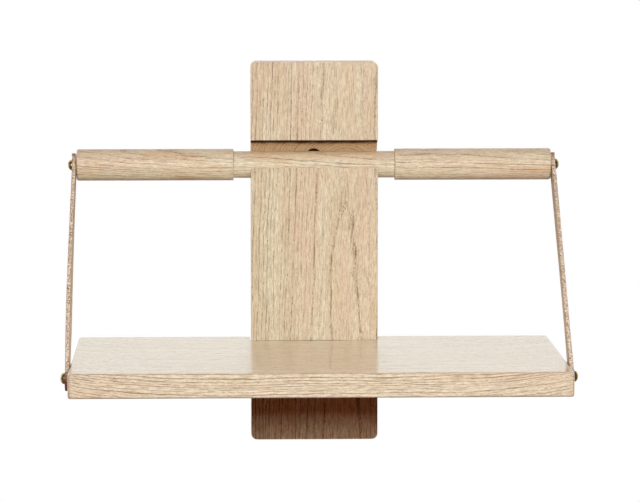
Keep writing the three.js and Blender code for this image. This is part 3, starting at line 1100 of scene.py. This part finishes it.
# Works in the strap's own plane: along it from the upper screw, and across it towards the room
def makeStrap(side, shape):
    sign = -1 if side == "left" else 1
    low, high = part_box(f"strap_{side}")
    middleX = abs(low.x + high.x) / 2 / mm
    upper, lower = middle(f"screw_upper_{side}"), middle(f"screw_lower_{side}")
    run = Vector((0, lower.y - upper.y, lower.z - upper.z)) / mm
    length = run.length
    along = run.normalized()
    across = Vector((0, along.z, -along.y))
    half = shape["width"] / 2
    reach = shape["endDistance"] - half
    join = shape["joinAt"]
    start = Vector((0, upper.y / mm, upper.z / mm))

    # How far a point lies, along the strap and across it, from the line between the middles of its round ends
    def fromMiddleLine(s, w):
        return s - min(max(s, -reach), length + reach), w

    # layer is -1 on the face towards the shelf, 1 on the outer face, and between them on the cut edge
    def place(s, w, layer, bulge=0):
        inset = max(0, min(1, (half - math.hypot(*fromMiddleLine(s, w))) / shape["rimRound"]))
        fall = shape["rimDrop"] * (1 - math.sqrt(1 - (1 - inset) ** 2))
        x = layer * (shape["thickness"] / 2 - fall)
        fromScrew = min(math.hypot(s, w), math.hypot(s - length, w))
        if layer == 1:
            x -= shape["headPress"] * (1 - smooth(*shape["headEdge"], fromScrew))
            x += shape["pressRise"] * bump(fromScrew, *shape["pressRing"])
        bowed = max(0, min(1, s / (length - shape["bowEnd"])))
        x += shape["bow"][side] * math.sin(math.pi * bowed) ** shape["bowEase"]
        x += shape["flare"] * max(0, (-s - shape["flareFrom"]) / shape["flareLength"]) ** 2
        x += w * math.tan(math.radians(shape["twist"][side]) * bump(s, *shape["twistSpan"]))
        waverAlong, waverAcross = shape["waverSpacing"]
        spot = Vector((s / waverAlong, w / waverAcross, shape["waverSeed"] * sign))
        x += shape["waver"] * noise.noise(spot)
        push = Vector(fromMiddleLine(s, w)).normalized() * bulge
        point = start + along * (s + push.x) + across * (w + push.y)
        point.x = sign * (middleX + x)
        return point * mm

    insets = shape["rimInsets"]
    edgeRows = [half - inset for inset in insets]
    widths = [-w for w in edgeRows] + shape["middleRows"] + edgeRows[::-1]
    steps = shape["lengthSteps"]
    middleSteps = [join + (length - 2 * join) * i / steps for i in range(steps + 1)]
    bm = bmesh.new()

    def addFace(points):
        bm.faces.new([bm.verts.new(point) for point in points])

    def addSheet(rows, layer):
        for first, second in zip(rows, rows[1:]):
            for i in range(len(first) - 1):
                corners = (first[i], first[i + 1], second[i + 1], second[i])
                addFace([place(s, w, layer) for s, w in corners])

    joinAngle = math.atan2(half, join)
    steps = shape["endSteps"]
    angles = [math.atan2(w, join) for w in widths]
    angles += [joinAngle + 2 * (math.pi - joinAngle) * i / steps for i in range(1, steps + 1)]

    # How far the strap reaches from a screw in one direction: to the plain length, a side or the round end
    def endReach(angle):
        c, s = math.cos(angle), math.sin(angle)
        if abs(angle) <= joinAngle + tiny or angle >= 2 * math.pi - joinAngle - tiny:
            return join / c
        if abs(s) > tiny and half / abs(s) * c >= -reach:
            return half / abs(s)
        return -reach * c + math.sqrt((reach * c) ** 2 - reach ** 2 + half ** 2)

    rim = []
    headRings = shape["headRings"]
    for base, heading in ((0, 1), (length, -1)):
        rays = []
        for angle in angles:
            far = endReach(angle)
            radii = [shape["holeRadius"], *headRings, (headRings[-1] + far - insets[-1]) / 2]
            radii += [far - inset for inset in insets[::-1]]
            rays.append([(base + heading * r * math.cos(angle), r * math.sin(angle)) for r in radii])
        for layer in (-1, 1):
            addSheet(rays, layer)
        for first, second in zip(rays, rays[1:]):
            addFace([place(*first[0], -1), place(*first[0], 1), place(*second[0], 1), place(*second[0], -1)])
        ends = [ray[-1] for ray in rays[len(widths) - 1:]]
        rim += zip(ends, ends[1:])
    for layer in (-1, 1):
        addSheet([[(s, w) for w in widths] for s in middleSteps], layer)
    for w in (-half, half):
        rim += [((a, w), (b, w)) for a, b in zip(middleSteps, middleSteps[1:])]

    # The cut edge is fibrous, and bulges a little
    def rimPoint(s, w, layer):
        spacing, (rowSeed, strapSeed) = shape["fibreSpacing"], shape["fibreSeeds"]
        spot = Vector((s / spacing, w / spacing, rowSeed * layer + strapSeed * sign))
        rough = shape["fibreRough"] * noise.noise(spot)
        return place(s, w, layer, (1 - layer * layer) * shape["fibreBulge"] * (1 + rough))

    layers = shape["edgeLayers"]
    for first, second in rim:
        for inner, outer in zip(layers, layers[1:]):
            corners = ((first, inner), (second, inner), (second, outer), (first, outer))
            addFace([rimPoint(*spot, layer) for spot, layer in corners])
    bmesh.ops.remove_doubles(bm, verts=bm.verts, dist=weldDistance)
    strap = toObject(f"strap{side.capitalize()}", bm)
    shadeEvenly(strap)
    return strap


screwShape = {
    "sides": 32,
    "headRadius": 4.5,
    "headHeight": 3.4,
    "headRim": 0.4,
    "headChamfer": 0.15,
    "domeSteps": 14,
    "slotWidth": 1.2,
    "slotDepth": 1.5,
    "slotEdgeRound": 0.12,
    "length": 25.0,
    "shankRadius": 2.0,
    "coreRadius": 1.45,
    "threadPitch": 1.8,
    "threadSteps": 8,  # to a pitch
    "threadStart": 7.0,  # below the head
    "threadEnd": 0.8,  # the length of its run-out
    "ridgeWidth": 0.28,  # half of it, of the pitch
    "ridgeGrowth": 1.2,  # how much sooner than the core it is full, from the point up
    "pointLength": 6.0,
    "tipRadius": 0.3,
    "turns": {"upper_left": 0.07, "upper_right": 0.19, "lower_left": 0.21, "lower_right": 0.04},
}


def makeScrew(level, side, shape):
    sign = -1 if side == "left" else 1
    low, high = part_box(f"screw_{level}_{side}")
    axis = (low + high) / 2
    headHeight, headRadius = shape["headHeight"], shape["headRadius"]
    seat = max(abs(low.x), abs(high.x)) - headHeight * mm
    turn = 2 * math.pi * shape["turns"][f"{level}_{side}"]
    slotLine = Vector((0, -sign * math.cos(turn), -math.sin(turn)))
    slotSide = Vector((0, -math.sin(turn), sign * math.cos(turn)))

    def place(a, b, height):
        point = (slotLine * a + slotSide * b) * mm + Vector((0, axis.y, axis.z))
        point.x = sign * (seat + height * mm)
        return point

    bm = bmesh.new()
    sides = shape["sides"]
    angles = [2 * math.pi * i / sides for i in range(sides)]
    rings = []

    def addRing(radii, height):
        spots = [(radius * math.cos(a), radius * math.sin(a)) for radius, a in zip(radii, angles)]
        rings.append([bm.verts.new(place(*spot, height)) for spot in spots])

    # The thread is a ridge that climbs once round the shank for each pitch
    shank, core, tip = shape["shankRadius"], shape["coreRadius"], shape["tipRadius"]
    pitch, length = shape["threadPitch"], shape["length"]
    threaded = length - shape["threadStart"]
    steps = round(threaded / pitch * shape["threadSteps"])
    for k in range(steps + 1):
        height = -length + threaded * k / steps
        taper = min(1, (height + length) / shape["pointLength"])
        valley = tip + (core - tip) * taper
        rise = (shank - core) * min(1, taper * shape["ridgeGrowth"])
        fromRidge = [abs((height / pitch - i / sides) % 1 - 0.5) for i in range(sides)]
        addRing([valley + rise * max(0, 1 - away / shape["ridgeWidth"]) for away in fromRidge], height)
    chamfer, rim = shape["headChamfer"], shape["headRim"]
    dome = arcPoints(0, rim, headRadius, headHeight - rim, 0, math.pi / 2, shape["domeSteps"])
    plain = [
        (shank, shape["threadEnd"] - shape["threadStart"]),
        (shank, 0),
        (headRadius - chamfer, 0),
        (headRadius, chamfer),
        *dome[:-1],
    ]
    for radius, height in plain:
        addRing([radius] * sides, height)
    bm.faces.new(rings[0])
    bm.faces.new(rings[-1])
    joinRings(bm, rings)
    screw = toObject(f"screw{level.capitalize()}{side.capitalize()}", bm)

    halfSlot, slotFloor = shape["slotWidth"] / 2, headHeight - shape["slotDepth"]
    slotEnd, slotTop = headRadius + overrun, headHeight + overrun
    slot = [(-halfSlot, slotFloor), (halfSlot, slotFloor), (halfSlot, slotTop), (-halfSlot, slotTop)]
    cutAway(screw, [prism("slot", slot, -slotEnd, slotEnd, lambda b, height, a: place(a, b, height))])

    def roundShare(point):
        return 1 if abs(point.x) - seat > (slotFloor - touching) * mm else 0

    softenEdges(screw, shape["slotEdgeRound"] * mm, roundShare, segments=2)
    return screw


asPiece(makeWallBoard(boardShape), "wall_board", "board_oak", boardOak, "back_board")
print("wall board made")
asPiece(makeShelf(shelfShape), "hanging_set", "board_oak", shelfOak, "shelf_board")
asPiece(makeRod(rodShape), "hanging_set", "rod_oak", rodOak, "hanging_rod")
print("shelf and rod made")
for side in ("left", "right"):
    asPiece(makeStrap(side, strapShape), "hanging_set", "leather", leather, f"strap_{side}")
    for level in ("upper", "lower"):
        screw = makeScrew(level, side, screwShape)
        asPiece(screw, "hanging_set", "brass", brass, f"screw_{level}_{side}")
print("straps and screws made")
aimCards(cardTargets)

print("done")
